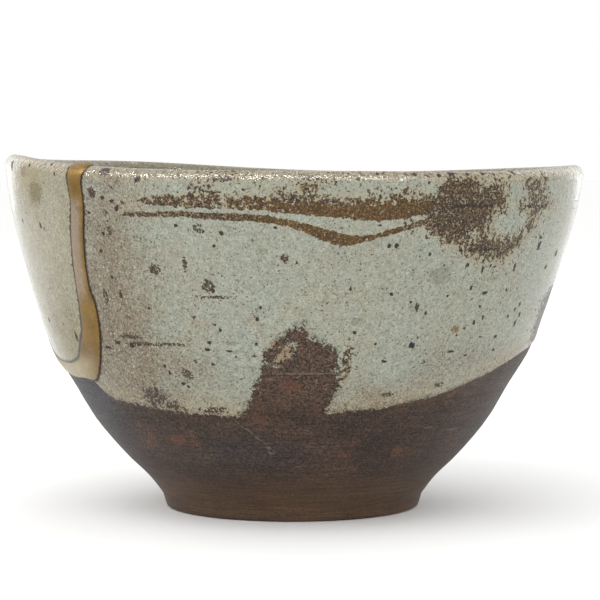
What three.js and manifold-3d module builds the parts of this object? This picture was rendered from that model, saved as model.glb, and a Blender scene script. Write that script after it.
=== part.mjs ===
// A footed stoneware tea bowl, thrown and trimmed by hand. A sherd of its wall broke out at the rim
// and was set back in gold lacquer, which fills the whole joint and stands a little proud of it.
// Millimetres, +Z up, the bowl standing on z = 0 with its foot ring round the Z axis.
// A bearing is an angle round that axis: 0 faces -Y, and it grows towards +X.

import * as THREE from "three";
import { mergeVertices } from "three/addons/utils/BufferGeometryUtils.js";
import Module from "manifold-3d";

// ---- Driving dimensions ----

const FACETS = 72; // round the bowl

// The foot: a ring trimmed from the clay, hollow underneath.
const FOOT_RADIUS = 30.4; // outside, just above the edge it stands on
const FOOT_BEVEL = 0.9; // worn edge between the ring's side and its underside
const RING_INSIDE = 23.2; // the flat underside of the ring starts here
const RECESS_RADIUS = 20.6; // where the ring's inner slope meets the recess
const RECESS_DEPTH = 5.2;
const RECESS_CROWN = 0.4; // the recess rises a little more towards its middle

// The wall, as [radius, height] from the neck above the foot up to the lip.
const OUTER_WALL = [
  [30.9, 3.0],
  [34.3, 7.4],
  [40.1, 13.1],
  [46.5, 20.8],
  [51.8, 29.6],
  [56.5, 37.3],
  [60.0, 47.0],
  [63.3, 57.6],
  [66.2, 68.2],
  [68.0, 78.0],
];
// And down the inside, from the lip to the floor's middle.
const INNER_WALL = [
  [63.4, 78.0],
  [61.4, 68.8],
  [58.3, 57.6],
  [54.4, 45.8],
  [49.3, 36.0],
  [42.8, 27.4],
  [35.0, 19.9],
  [24.0, 14.0],
  [11.0, 11.6],
  [0.0, 11.2],
];
const OUTER_STEPS = 14;
const INNER_STEPS = 12;
const LIP_STEPS = 6; // the lip is a half round between the two walls
const LIP_HEIGHT = OUTER_WALL.at(-1)[1] + (OUTER_WALL.at(-1)[0] - INNER_WALL[0][0]) / 2;

// What the potter's hand left: the lip rises and falls, and the plan is not quite round.
// Each wave has its count round the bowl, its size and the bearing of a crest, in degrees.
const RIM_WAVES = [
  { count: 1, size: 1.21, crest: -98.3 },
  { count: 2, size: 1.16, crest: 85.1 },
  { count: 3, size: 0.09, crest: -31.3 },
  { count: 4, size: 0.26, crest: 14.3 },
  { count: 5, size: 0.23, crest: -1.5 },
  { count: 6, size: 0.03, crest: -25.9 },
  { count: 7, size: 0.06, crest: 20.4 },
];
const PLAN_WAVES = [
  { count: 1, size: 0.35, crest: 90 },
  { count: 2, size: 0.35, crest: 45 },
  { count: 3, size: 0.3, crest: 0 },
];
const BELLY_WAVES = [{ count: 1, size: 0.5, crest: -90 }]; // half way up, the wall leans over a little

// The mended joint, as [bearing in degrees, height, width]: down from the rim, round the belly
// and up again on the far side. It is drawn on the wall unrolled at JOINT_RADIUS.
const JOINT_RADIUS = 62;
const JOINT = [
  [-43.8, 87, 7.2],
  [-43.9, 80.6, 5.6],
  [-44.5, 76.8, 4.4],
  [-44.4, 72.0, 4.2],
  [-46.6, 61.7, 4.4],
  [-47.8, 54.0, 5.0],
  [-47.9, 49.0, 6.8],
  [-49.5, 42.5, 7.3],
  [-52.5, 38.2, 7.6],
  [-56.2, 35.2, 6.6],
  [-61.0, 34.3, 4.4],
  [-68.0, 33.8, 3.8],
  [-78.0, 34.6, 3.6],
  [-87.0, 37.0, 4.2],
  [-93.5, 43.0, 5.2],
  [-97.2, 52.0, 4.8],
  [-98.6, 61.0, 4.4],
  [-97.8, 70.0, 4.4],
  [-98.6, 79.5, 5.4],
  [-98.8, 88, 7.2],
];
const JOINT_STEPS = 70;
const GAP = 0.3; // between the lacquer and the broken edges
const PROUD = 0.3; // the lacquer stands this far out of the glaze
const CUT_NEAR = 25; // radii between which the joint's cuts run
const CUT_FAR = 120;
const CUT_STEPS = 8; // each cut is a ruled surface, so it goes out in short steps

const COLOURS = {
  glaze: { color: 0xa2a495, roughness: 0.25, metalness: 0 },
  sherd: { color: 0xb6b2a3, roughness: 0.25, metalness: 0 },
  gold: { color: 0x9a7a48, roughness: 0.3, metalness: 0.4 },
};

// ---- The bowl's form ----

const { degToRad, lerp } = THREE.MathUtils;
const toVectors = (pairs) => pairs.map(([x, y]) => new THREE.Vector2(x, y));

// From the middle of the recess out to the neck above the foot.
function footProfile() {
  return toVectors([
    [0, RECESS_DEPTH + RECESS_CROWN],
    [RECESS_RADIUS, RECESS_DEPTH],
    [RING_INSIDE, 0],
    [FOOT_RADIUS - FOOT_BEVEL, 0],
    [FOOT_RADIUS, FOOT_BEVEL],
  ]);
}

// The half section of the bowl from axis to axis, its wall thickened on both faces by `extra`.
function bowlProfile(extra) {
  const outer = new THREE.SplineCurve(toVectors(OUTER_WALL)).getPoints(OUTER_STEPS);
  const inner = new THREE.SplineCurve(toVectors(INNER_WALL)).getPoints(INNER_STEPS);
  outer.forEach((point) => (point.x += extra));
  inner.slice(0, -1).forEach((point) => (point.x -= extra));
  const [lipOut, lipIn] = [outer.at(-1), inner[0]];
  const lip = new THREE.Path()
    .absarc((lipOut.x + lipIn.x) / 2, lipOut.y, (lipOut.x - lipIn.x) / 2, 0, Math.PI)
    .getPoints(LIP_STEPS);
  return [...footProfile(), ...outer, ...lip.slice(1, -1), ...inner];
}

function waveSum(waves, bearing) {
  return waves.reduce(
    (sum, wave) => sum + wave.size * Math.cos(wave.count * (bearing - degToRad(wave.crest))),
    0,
  );
}

// Moves every vertex as the waves ask: nothing at the foot, all of it at the lip.
function warpByHand(geometry) {
  const place = geometry.attributes.position;
  for (let i = 0; i < place.count; i++) {
    const [x, y, z] = [place.getX(i), place.getY(i), place.getZ(i)];
    const bearing = Math.atan2(x, -y);
    const share = z / LIP_HEIGHT;
    const radius = Math.hypot(x, y);
    const onAxis = Math.min(1, radius / RING_INSIDE);
    const belly = (4 * share * (1 - share)) ** 2;
    const spread = share * waveSum(PLAN_WAVES, bearing) + belly * waveSum(BELLY_WAVES, bearing);
    const moved = radius + onAxis * spread;
    const lifted = z + onAxis * share ** 2 * waveSum(RIM_WAVES, bearing);
    place.setXYZ(i, moved * Math.sin(bearing), -moved * Math.cos(bearing), lifted);
  }
  return geometry;
}

function bowlForm(extra) {
  const lathe = new THREE.LatheGeometry(bowlProfile(extra), FACETS);
  lathe.rotateX(Math.PI / 2);
  return warpByHand(lathe);
}

// ---- The mended joint ----

// Both edges of the joint on the unrolled wall, `inset` inside its full width.
function jointEdges(inset) {
  const stations = JOINT.map(
    ([bearing, height, width]) =>
      new THREE.Vector3(degToRad(bearing) * JOINT_RADIUS, height, width),
  );
  const course = new THREE.CatmullRomCurve3(stations);
  const edges = { bodySide: [], sherdSide: [] };
  for (let i = 0; i <= JOINT_STEPS; i++) {
    const { x, y, z: width } = course.getPointAt(i / JOINT_STEPS);
    const along = course.getTangentAt(i / JOINT_STEPS);
    const across = new THREE.Vector2(-along.y, along.x).setLength(width / 2 - inset);
    edges.bodySide.push(new THREE.Vector2(x + across.x, y + across.y));
    edges.sherdSide.push(new THREE.Vector2(x - across.x, y - across.y));
  }
  return edges;
}

// A solid that an outline on the unrolled wall sweeps out from the axis.
function radialPrism(outline) {
  const prism = new THREE.ExtrudeGeometry(new THREE.Shape(outline), {
    depth: 1,
    steps: CUT_STEPS,
    bevelEnabled: false,
  });
  const place = prism.attributes.position;
  for (let i = 0; i < place.count; i++) {
    const reach = lerp(CUT_NEAR, CUT_FAR, place.getZ(i));
    const bearing = place.getX(i) / JOINT_RADIUS;
    place.setXYZ(i, reach * Math.sin(bearing), -reach * Math.cos(bearing), place.getY(i));
  }
  return prism;
}

// ---- Solids ----

const wasm = await Module();
wasm.setup();

function solidFrom(geometry) {
  geometry.deleteAttribute("normal");
  geometry.deleteAttribute("uv");
  const merged = mergeVertices(geometry);
  const corners = merged.index.array;
  const kept = [];
  for (let i = 0; i < corners.length; i += 3) {
    const [a, b, c] = corners.slice(i, i + 3);
    if (a !== b && b !== c && c !== a) kept.push(a, b, c); // the lathe's poles leave slivers
  }
  return new wasm.Manifold(
    new wasm.Mesh({
      numProp: 3,
      vertProperties: merged.attributes.position.array,
      triVerts: new Uint32Array(kept),
    }),
  );
}

function meshFrom(solid, name, material) {
  const { vertProperties, triVerts } = solid.getMesh();
  const geometry = new THREE.BufferGeometry();
  geometry.setAttribute("position", new THREE.BufferAttribute(vertProperties, 3));
  geometry.setIndex(new THREE.BufferAttribute(triVerts, 1));
  geometry.computeVertexNormals();
  const mesh = new THREE.Mesh(geometry, new THREE.MeshStandardMaterial(material));
  mesh.name = name;
  return mesh;
}

const bowl = solidFrom(bowlForm(0));
const { bodySide, sherdSide } = jointEdges(0);
const filling = jointEdges(GAP);
const fillingOutline = [...filling.bodySide, ...filling.sherdSide.reverse()];

const kintsugiBowl = new THREE.Group();
kintsugiBowl.add(
  meshFrom(bowl.subtract(solidFrom(radialPrism(bodySide))), "bowl_body", COLOURS.glaze),
  meshFrom(bowl.intersect(solidFrom(radialPrism(sherdSide))), "rim_sherd", COLOURS.sherd),
  meshFrom(
    solidFrom(bowlForm(PROUD)).intersect(solidFrom(radialPrism(fillingOutline))),
    "gold_seam",
    COLOURS.gold,
  ),
);

export default kintsugiBowl;
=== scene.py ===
"""A kintsugi tea bowl: thrown stoneware under a feldspar glaze, with iron brushwork, bare clay round the
foot, and a sherd of the rim set back in gold lacquer.

Bearings are degrees round +Z: 0 faces -Y, and they grow towards +X. Sizes and places are in millimetres,
as a potter would give them, and MM turns them into scene units."""

import math

import bmesh
import bpy
import numpy as np
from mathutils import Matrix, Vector
from mathutils.geometry import tessellate_polygon


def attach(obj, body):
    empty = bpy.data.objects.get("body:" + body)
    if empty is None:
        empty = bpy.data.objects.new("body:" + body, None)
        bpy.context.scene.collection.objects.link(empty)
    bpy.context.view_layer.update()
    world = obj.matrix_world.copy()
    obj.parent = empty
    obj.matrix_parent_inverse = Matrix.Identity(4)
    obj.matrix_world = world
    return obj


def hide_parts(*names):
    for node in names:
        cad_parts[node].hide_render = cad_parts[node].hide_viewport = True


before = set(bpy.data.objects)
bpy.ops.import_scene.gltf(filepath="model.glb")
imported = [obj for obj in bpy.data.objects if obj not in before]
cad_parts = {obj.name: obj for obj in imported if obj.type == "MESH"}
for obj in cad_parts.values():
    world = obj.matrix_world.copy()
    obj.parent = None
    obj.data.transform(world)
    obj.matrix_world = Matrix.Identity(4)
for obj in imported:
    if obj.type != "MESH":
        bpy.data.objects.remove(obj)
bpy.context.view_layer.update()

MM = 0.001

# ---- The bowl's form ----

RING_INSIDE = 23.2
LIP_HEIGHT = 80.3
# The foot's underside and side, as [radius, height]; the recess has a small boss left in its middle.
FOOT_LINE = [
    (0.0, 4.7), (3.0, 4.85), (6.0, 5.35), (10.0, 5.4), (16.0, 5.3), (19.4, 5.2), (20.8, 4.5),
    (22.4, 1.0), (23.3, 0.15), (24.2, 0.0), (26.5, 0.0), (28.9, 0.0), (30.0, 0.3), (30.4, 1.0),
    (30.6, 2.0), (30.9, 3.0),
]
OUTER_WALL = [
    (30.9, 3.0), (34.3, 7.4), (40.1, 13.1), (46.5, 20.8), (51.8, 29.6),
    (56.5, 37.3), (60.0, 47.0), (63.3, 57.6), (66.2, 68.2), (68.0, 78.0),
]
INNER_WALL = [
    (63.4, 78.0), (61.4, 68.8), (58.3, 57.6), (54.4, 45.8), (49.3, 36.0),
    (42.8, 27.4), (35.0, 19.9), (24.0, 14.0), (11.0, 11.6), (0.0, 11.2),
]
LIP_BASE = OUTER_WALL[-1][1]
LIP_MIDDLE = (OUTER_WALL[-1][0] + INNER_WALL[0][0]) / 2
LIP_RADIUS = (OUTER_WALL[-1][0] - INNER_WALL[0][0]) / 2

# What the hand left: (count round the bowl, size, bearing of a crest).
RIM_WAVES = [
    (1, 1.21, -98.3), (2, 1.16, 85.1), (3, 0.09, -31.3), (4, 0.26, 14.3), (5, 0.23, -1.5), (6, 0.03, -25.9),
    (7, 0.06, 20.4),
]
PLAN_WAVES = [(1, 0.35, 90.0), (2, 0.35, 45.0), (3, 0.30, 0.0)]
BELLY_WAVES = [(1, 0.5, -90.0)]

# The mended joint on the wall unrolled at JOINT_RADIUS: (bearing, height, width).
JOINT_RADIUS = 62.0
JOINT = [
    (-43.8, 87.0, 7.2), (-43.9, 80.6, 5.6), (-44.5, 76.8, 4.4), (-44.4, 72.0, 4.2), (-46.6, 61.7, 4.4),
    (-47.8, 54.0, 5.0), (-47.9, 49.0, 6.8), (-49.5, 42.5, 7.3), (-52.5, 38.2, 7.6), (-56.2, 35.2, 6.6),
    (-61.0, 34.3, 4.4), (-68.0, 33.8, 3.8), (-78.0, 34.6, 3.6), (-87.0, 37.0, 4.2), (-93.5, 43.0, 5.2),
    (-97.2, 52.0, 4.8), (-98.6, 61.0, 4.4), (-97.8, 70.0, 4.4), (-98.6, 79.5, 5.4), (-98.8, 87.0, 7.2),
]

COLUMNS = 512  # faces round the bowl
FOOT_STEP, WALL_STEP, INSIDE_STEP = 1.5, 0.95, 2.4  # lengths of a face along the section
LIP_POINTS = 11  # round the lip, between the two walls
JOINT_STEP = 0.6  # distance between stations along the joint
HAND_SEED = 11


def uniform_spline(points, count):
    """Evenly numbered points along a Catmull-Rom curve through the given ones."""
    points = np.asarray(points, float)
    last = len(points) - 1
    t = np.linspace(0, last, count)
    i = np.minimum(t.astype(int), last - 1)
    w = (t - i)[:, None]
    p0, p1 = points[np.maximum(i - 1, 0)], points[i]
    p2, p3 = points[i + 1], points[np.minimum(i + 2, last)]
    v0, v1 = (p2 - p0) / 2, (p3 - p1) / 2
    return (2 * p1 - 2 * p2 + v0 + v1) * w**3 + (3 * p2 - 3 * p1 - 2 * v0 - v1) * w**2 + v0 * w + p1


def even_steps(line, step):
    """The same line with points an even distance apart."""
    line = np.asarray(line, float)
    run = np.concatenate([[0], np.cumsum(np.linalg.norm(np.diff(line[:, :2], axis=0), axis=1))])
    at = np.linspace(0, run[-1], max(2, round(run[-1] / step) + 1))
    return np.stack([np.interp(at, run, column) for column in line.T], axis=1)


def soften(line):
    """Cuts a line's corners twice, keeping its ends."""
    line = np.asarray(line, float)
    for _ in range(2):
        cut = np.empty((2 * (len(line) - 1), 2))
        cut[0::2] = line[:-1] * 0.75 + line[1:] * 0.25
        cut[1::2] = line[:-1] * 0.25 + line[1:] * 0.75
        line = np.concatenate([line[:1], cut, line[-1:]])
    return line


OUTER_CURVE = uniform_spline(OUTER_WALL, 400)
INNER_CURVE = uniform_spline(INNER_WALL, 400)


def wave_sum(waves, bearing):
    return sum(size * np.cos(count * np.radians(bearing - crest)) for count, size, crest in waves)


def thrown_height(bearing, height):
    """The height on the even section of a point that the rim's waves have lifted to `height`, by steps
    that close in on it."""
    rise, thrown = wave_sum(RIM_WAVES, bearing), np.array(height, float)
    for _ in range(6):
        thrown = height - rise * (thrown / LIP_HEIGHT) ** 2
    return thrown


def half_section():
    """Half section from the recess's middle out, up, over the lip and down to the floor, as
    (radius, height, share of the inside face)."""
    foot = even_steps(soften(FOOT_LINE), FOOT_STEP)
    outer = even_steps(OUTER_CURVE, WALL_STEP)
    turn = np.linspace(0, math.pi, LIP_POINTS + 2)[1:-1]
    lip = np.stack([LIP_MIDDLE + LIP_RADIUS * np.cos(turn), LIP_BASE + LIP_RADIUS * np.sin(turn)], 1)
    inner = even_steps(INNER_CURVE, INSIDE_STEP)
    line = np.concatenate([foot[:-1], outer, lip, inner])
    inside = np.concatenate([np.zeros(len(foot) - 1 + len(outer)), turn / math.pi, np.ones(len(inner))])
    return np.column_stack([line, inside])


def joint_course():
    """Evenly spaced stations down, round and up the joint on the unrolled wall: (across, up, width)."""
    stations = np.array([(math.radians(b) * JOINT_RADIUS, h, w) for b, h, w in JOINT])
    ends = [2 * stations[0] - stations[1], *stations, 2 * stations[-1] - stations[-2]]
    line = []
    for p0, p1, p2, p3 in zip(ends, ends[1:], ends[2:], ends[3:]):
        d0, d1, d2 = (math.sqrt(np.linalg.norm(b - a)) for a, b in ((p0, p1), (p1, p2), (p2, p3)))
        m1 = d1 * ((p1 - p0) / d0 - (p2 - p0) / (d0 + d1) + (p2 - p1) / d1)
        m2 = d1 * ((p2 - p1) / d1 - (p3 - p1) / (d1 + d2) + (p3 - p2) / d2)
        t = np.linspace(0, 1, 40, endpoint=False)[:, None]
        curve = p1 + m1 * t + (3 * p2 - 3 * p1 - 2 * m1 - m2) * t**2
        line.append(curve + (2 * p1 - 2 * p2 + m1 + m2) * t**3)
    return even_steps(np.concatenate([*line, stations[-1:]]), JOINT_STEP)


def joint_rails(course):
    """The joint's two edges on the unrolled wall: the one on the bowl's side and the one on the sherd's."""
    along = np.gradient(course[:, :2], axis=0)
    across = np.stack([-along[:, 1], along[:, 0]], 1) / np.linalg.norm(along, axis=1)[:, None]
    half = course[:, 2:] / 2 * across
    return course[:, :2] + half, course[:, :2] - half


# ---- Node trees ----


class Tree:
    """Short words for adding nodes to a tree. An input given as None keeps its default."""

    def __init__(self, tree):
        self.tree = tree

    def node(self, kind, *values, **settings):
        made = self.tree.nodes.new(kind)
        named = {k: settings.pop(k) for k in list(settings) if k[0].isupper()}
        for name, value in settings.items():
            setattr(made, name, value)
        shown = [s for s in made.inputs if s.enabled]
        for socket, value in zip(shown, values):
            self.feed(socket, value)
        for name, value in named.items():
            self.feed(next(s for s in shown if s.name == name.replace("_", " ")), value)
        return made

    def feed(self, socket, value):
        if isinstance(value, bpy.types.NodeSocket):
            self.tree.links.new(value, socket)
        elif value is not None:
            socket.default_value = value

    def out(self, kind, *values, pick=0, **settings):
        made = self.node(kind, *values, **settings)
        return [s for s in made.outputs if s.enabled][pick]

    def math(self, operation, a, b=None, c=None, clamp=False):
        return self.out("ShaderNodeMath", a, b, c, operation=operation, use_clamp=clamp)

    def add(self, first, *rest):
        for other in rest:
            first = self.math("ADD", first, other)
        return first

    def times(self, first, *rest):
        for other in rest:
            first = self.math("MULTIPLY", first, other)
        return first

    def less(self, a, b):
        return self.math("SUBTRACT", a, b)

    def linear(self, value, slope, start):
        return self.math("MULTIPLY_ADD", value, slope, start)

    def centred(self, noise, size):
        """Noise moved to lie round 0, times a size."""
        return self.times(self.less(noise, 0.5), size)

    def ramp(self, value, low, high, to_low=0.0, to_high=1.0, smooth=True):
        kind = "SMOOTHSTEP" if smooth else "LINEAR"
        return self.out("ShaderNodeMapRange", value, low, high, to_low, to_high, interpolation_type=kind)

    def vector(self, x, y, z):
        return self.out("ShaderNodeCombineXYZ", x, y, z)

    def apart(self, vector):
        return self.node("ShaderNodeSeparateXYZ", vector).outputs

    def scaled(self, vector, factor):
        return self.out("ShaderNodeVectorMath", vector, Scale=factor, operation="SCALE")

    def stretched(self, vector, factors):
        return self.out("ShaderNodeVectorMath", vector, factors, operation="MULTIPLY")

    def moved(self, vector, offset):
        return self.out("ShaderNodeVectorMath", vector, offset, operation="ADD")

    def noise(self, vector, scale, detail=2.0, roughness=0.5):
        return self.out("ShaderNodeTexNoise", vector, Scale=scale, Detail=detail, Roughness=roughness)

    def mix(self, factor, a, b):
        return self.out("ShaderNodeMix", factor, a, b, data_type="FLOAT")

    def mix_vector(self, factor, a, b):
        return self.out("ShaderNodeMix", factor, a, b, data_type="VECTOR")


def new_group(name, inputs, outputs):
    """A geometry node group with named sockets: its tree, its inputs by name and its outputs' node."""
    group = bpy.data.node_groups.new(name, "GeometryNodeTree")
    for direction, sockets in (("INPUT", inputs), ("OUTPUT", outputs)):
        for socket, kind in sockets:
            group.interface.new_socket(name=socket, in_out=direction, socket_type="NodeSocket" + kind)
    entry = group.nodes.new("NodeGroupInput")
    return Tree(group), {s.name: s for s in entry.outputs}, group.nodes.new("NodeGroupOutput")


HAND_SIZES = [
    ("Unevenness", "Float"), ("Ridge Height", "Float"), ("Ridge Spacing", "Float"), ("Seed", "Int"),
]


SWIRL_PITCH, SWIRL_DEPTH = 7 * MM, 0.16 * MM  # the spiral that the fingers left inside


def hand_of_potter():
    """Group: where a point of the even section comes to lie on the hand-made wall."""
    asked = [("Bearing", "Float"), ("Section", "Vector"), ("Inside", "Float"), *HAND_SIZES]
    t, given, result = new_group("hand of the potter", asked, [("Position", "Vector")])
    bearing, inside = given["Bearing"], given["Inside"]
    radius, _, height = t.apart(given["Section"])
    share = t.math("DIVIDE", height, LIP_HEIGHT * MM)
    on_axis = t.math("MINIMUM", t.math("DIVIDE", radius, RING_INSIDE * MM), 1.0)

    def waves(rows):
        return t.add(*[
            t.times(t.math("COSINE", t.times(t.less(bearing, math.radians(crest)), count)), size * MM)
            for count, size, crest in rows
        ])

    lift = t.times(waves(RIM_WAVES), share, share, on_axis)
    half_up = t.times(share, t.less(1.0, share), 4.0)
    belly = t.times(waves(BELLY_WAVES), half_up, half_up, on_axis)
    spread = t.add(t.times(waves(PLAN_WAVES), share, on_axis), belly)
    east, south = t.math("SINE", bearing), t.math("COSINE", bearing)
    drum = JOINT_RADIUS * MM
    seeded = t.add(height, t.times(given["Seed"], 0.37))
    on_drum = t.vector(t.times(east, drum), t.times(south, -drum), seeded)
    uneven = t.times(t.centred(t.noise(on_drum, 32.0, 1.0), 2.0), given["Unevenness"], share)
    turned = t.stretched(on_drum, (0.05, 0.05, 1.0))
    ringed = t.noise(turned, t.math("DIVIDE", 1.0, given["Ridge Spacing"]), 2.0, 0.6)
    clear_of_foot = t.ramp(height, 3.5 * MM, 9 * MM)
    clear_of_lip = t.ramp(height, 77 * MM, 70 * MM)
    ridges = t.times(t.centred(ringed, 2.0), given["Ridge Height"], clear_of_foot, clear_of_lip)
    swirl = t.math("SINE", t.add(t.times(height, 2 * math.pi / SWIRL_PITCH), bearing))
    swirl_in = t.times(swirl, inside, SWIRL_DEPTH, t.ramp(radius, 6 * MM, 20 * MM), clear_of_lip)
    moved = t.add(radius, spread, uneven, t.times(ridges, t.less(1.0, inside)), swirl_in)
    place = t.vector(t.times(moved, east), t.times(moved, t.times(south, -1.0)), t.add(height, lift))
    t.feed(result.inputs["Position"], place)
    return t.tree


def use_group(t, group, values):
    node = t.tree.nodes.new("GeometryNodeGroup")
    node.node_tree = group
    for name, value in values.items():
        t.feed(node.inputs[name], value)
    return node.outputs[0]


def sample_row(t, geometry, value, row, kind):
    return t.out("GeometryNodeSampleIndex", geometry, value, row, data_type=kind)


def named(t, name, kind):
    return t.out("GeometryNodeInputNamedAttribute", name, data_type=kind)


def finish_tree(t, result, geometry, material):
    geometry = t.out("GeometryNodeSetShadeSmooth", geometry)
    geometry = t.out("GeometryNodeRealizeInstances", geometry)
    geometry = t.out("GeometryNodeSetMaterial", geometry, Material=material)
    t.feed(result.inputs[0], geometry)
    return t.tree


def thrown_bowl_tree(hand):
    """Tree: turns the half section round the axis and gives it the hand's unevenness."""
    asked = [("Half Section", "Geometry"), ("Columns", "Int"), *HAND_SIZES, ("Clay", "Material")]
    t, given, result = new_group("thrown bowl", asked, [("Bowl", "Geometry")])
    section, columns = given["Half Section"], given["Columns"]
    rows = t.out("GeometryNodeAttributeDomainSize", section)
    grid = t.out("GeometryNodeMeshGrid", 1.0, 1.0, t.add(columns, 1.0), rows)
    index = t.out("GeometryNodeInputIndex")
    column = t.math("FLOOR", t.math("DIVIDE", t.add(index, 0.5), rows))
    row = t.less(index, t.times(column, rows))
    bearing = t.less(t.times(t.math("DIVIDE", column, columns), 2 * math.pi), math.pi)
    place = use_group(t, hand, {
        "Bearing": bearing,
        "Section": sample_row(t, section, t.out("GeometryNodeInputPosition"), row, "FLOAT_VECTOR"),
        "Inside": sample_row(t, section, named(t, "inside", "FLOAT"), row, "FLOAT"),
        **{name: given[name] for name, _ in HAND_SIZES},
    })
    bowl = t.out("GeometryNodeSetPosition", grid, Position=place)
    bowl = t.out("GeometryNodeMergeByDistance", bowl, Distance=1e-6)
    return finish_tree(t, result, bowl, given["Clay"])


GOLD_RAILS = ["outer_bowl", "outer_sherd", "inner_sherd", "inner_bowl"]


def laid_gold_tree(hand):
    """Tree: lays a crowned band of gold between four rails, two on each face of the wall."""
    asked = [("Rails", "Geometry"), ("Across", "Int"), ("Crown", "Float"), ("Ripple", "Float"), *HAND_SIZES,
             ("Gold", "Material")]
    t, given, result = new_group("laid gold", asked, [("Band", "Geometry")])
    rails, across = given["Rails"], given["Across"]
    stations = t.out("GeometryNodeAttributeDomainSize", rails)
    ring = t.times(across, 2.0)
    grid = t.out("GeometryNodeMeshGrid", 1.0, 1.0, stations, t.add(ring, 1.0))
    index = t.out("GeometryNodeInputIndex")
    station = t.math("FLOOR", t.math("DIVIDE", t.add(index, 0.5), t.add(ring, 1.0)))
    step = t.math("MODULO", t.less(index, t.times(station, t.add(ring, 1.0))), ring)
    inner = t.math("GREATER_THAN", step, t.less(across, 0.5))
    share = t.math("DIVIDE", t.less(step, t.times(inner, across)), t.less(across, 1.0))

    def rail(name):
        return sample_row(t, rails, named(t, name, "FLOAT_VECTOR"), station, "FLOAT_VECTOR")

    outer_face = t.mix_vector(share, rail(GOLD_RAILS[0]), rail(GOLD_RAILS[1]))
    inner_face = t.mix_vector(share, rail(GOLD_RAILS[2]), rail(GOLD_RAILS[3]))
    bearing, radius, height = t.apart(t.mix_vector(inner, outer_face, inner_face))
    place = use_group(t, hand, {
        "Bearing": bearing,
        "Section": t.vector(radius, 0.0, height),
        "Inside": inner,
        **{name: given[name] for name, _ in HAND_SIZES},
    })
    facing = t.mix_vector(inner, rail("outer_facing"), rail("inner_facing"))
    out, _, up = t.apart(facing)
    east, south = t.math("SINE", bearing), t.math("COSINE", bearing)
    normal = t.vector(t.times(out, east), t.times(out, south, -1.0), up)
    aside = t.less(t.times(share, 2.0), 1.0)
    crown = t.less(1.0, t.math("POWER", t.math("ABSOLUTE", aside), 3.0))
    ripple = t.centred(t.noise(place, 260.0, 1.0), given["Ripple"])
    raised = t.times(t.add(given["Crown"], ripple), crown)
    band = t.out("GeometryNodeSetPosition", grid, Position=t.moved(place, t.scaled(normal, raised)))
    band = t.out("GeometryNodeStoreNamedAttribute", band, Name="aside", Value=aside, data_type="FLOAT")
    band = t.out("GeometryNodeMergeByDistance", band, Distance=1e-6)
    return finish_tree(t, result, band, given["Gold"])


def run_tree(name, source, tree, values):
    """Runs a tree on a source mesh with the named inputs and returns the result as a plain object."""
    holder = bpy.data.objects.new(name, source)
    bpy.context.scene.collection.objects.link(holder)
    modifier = holder.modifiers.new(name, "NODES")
    modifier.node_group = tree
    for item in tree.interface.items_tree:
        if item.in_out == "INPUT" and item.name in values:
            modifier[item.identifier] = values[item.name]
    evaluated = holder.evaluated_get(bpy.context.evaluated_depsgraph_get())
    result = bpy.data.meshes.new_from_object(evaluated)
    result.name = name
    bpy.data.objects.remove(holder)
    bpy.data.meshes.remove(source)
    piece = bpy.data.objects.new(name, result)
    bpy.context.scene.collection.objects.link(piece)
    return piece


def put_fields(mesh, fields):
    """Stores a number or a vector for each vertex of a mesh, under each field's name."""
    for name, values in fields.items():
        values = np.asarray(values, np.float32)
        kind, field = ("FLOAT_VECTOR", "vector") if values.ndim == 2 else ("FLOAT", "value")
        mesh.attributes.new(name, kind, "POINT").data.foreach_set(field, values.ravel())


def line_mesh(name, points, fields):
    """A chain of points with fields, as the input of a tree."""
    mesh = bpy.data.meshes.new(name)
    mesh.from_pydata([tuple(p) for p in points], [(i, i + 1) for i in range(len(points) - 1)], [])
    put_fields(mesh, fields)
    return mesh


# ---- Pieces ----

HAND = {"Unevenness": 0.3 * MM, "Ridge Height": 0.14 * MM, "Ridge Spacing": 4.2 * MM, "Seed": HAND_SEED}


def thrown_bowl(hand, clay):
    section = half_section()
    points = np.column_stack([section[:, 0], np.zeros(len(section)), section[:, 1]]) * MM
    source = line_mesh("half_section", points, {"inside": section[:, 2]})
    values = {"Columns": COLUMNS, "Clay": clay, **HAND}
    return run_tree("whole_bowl", source, thrown_bowl_tree(hand), values)


def wall_points(unrolled, inner):
    """Where unrolled points come to lie on one face of the wall, as (bearing in radians, radius, height),
    and how they face, as (out, up). Heights past the lip's base run over its half round to its crest."""
    bearing = unrolled[:, 0] / JOINT_RADIUS
    height = thrown_height(np.degrees(bearing), unrolled[:, 1])
    curve = INNER_CURVE[::-1] if inner else OUTER_CURVE
    radius = np.interp(height, curve[:, 1], curve[:, 0])
    slope = np.interp(height, curve[:, 1], np.gradient(curve[:, 0]) / np.gradient(curve[:, 1]))
    sign = -1 if inner else 1
    out, up = sign / np.hypot(1, slope), -sign * slope / np.hypot(1, slope)
    turn = np.clip((height - LIP_BASE) / LIP_RADIUS, 0, math.pi / 2)
    over = turn > 0
    radius = np.where(over, LIP_MIDDLE + sign * LIP_RADIUS * np.cos(turn), radius)
    height = np.where(over, LIP_BASE + LIP_RADIUS * np.sin(turn), height)
    out, up = np.where(over, sign * np.cos(turn), out), np.where(over, np.sin(turn), up)
    place = np.column_stack([bearing, radius * MM, height * MM])
    return place, np.column_stack([out, np.zeros(len(out)), up])


PAST_CREST = 2.5


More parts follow.
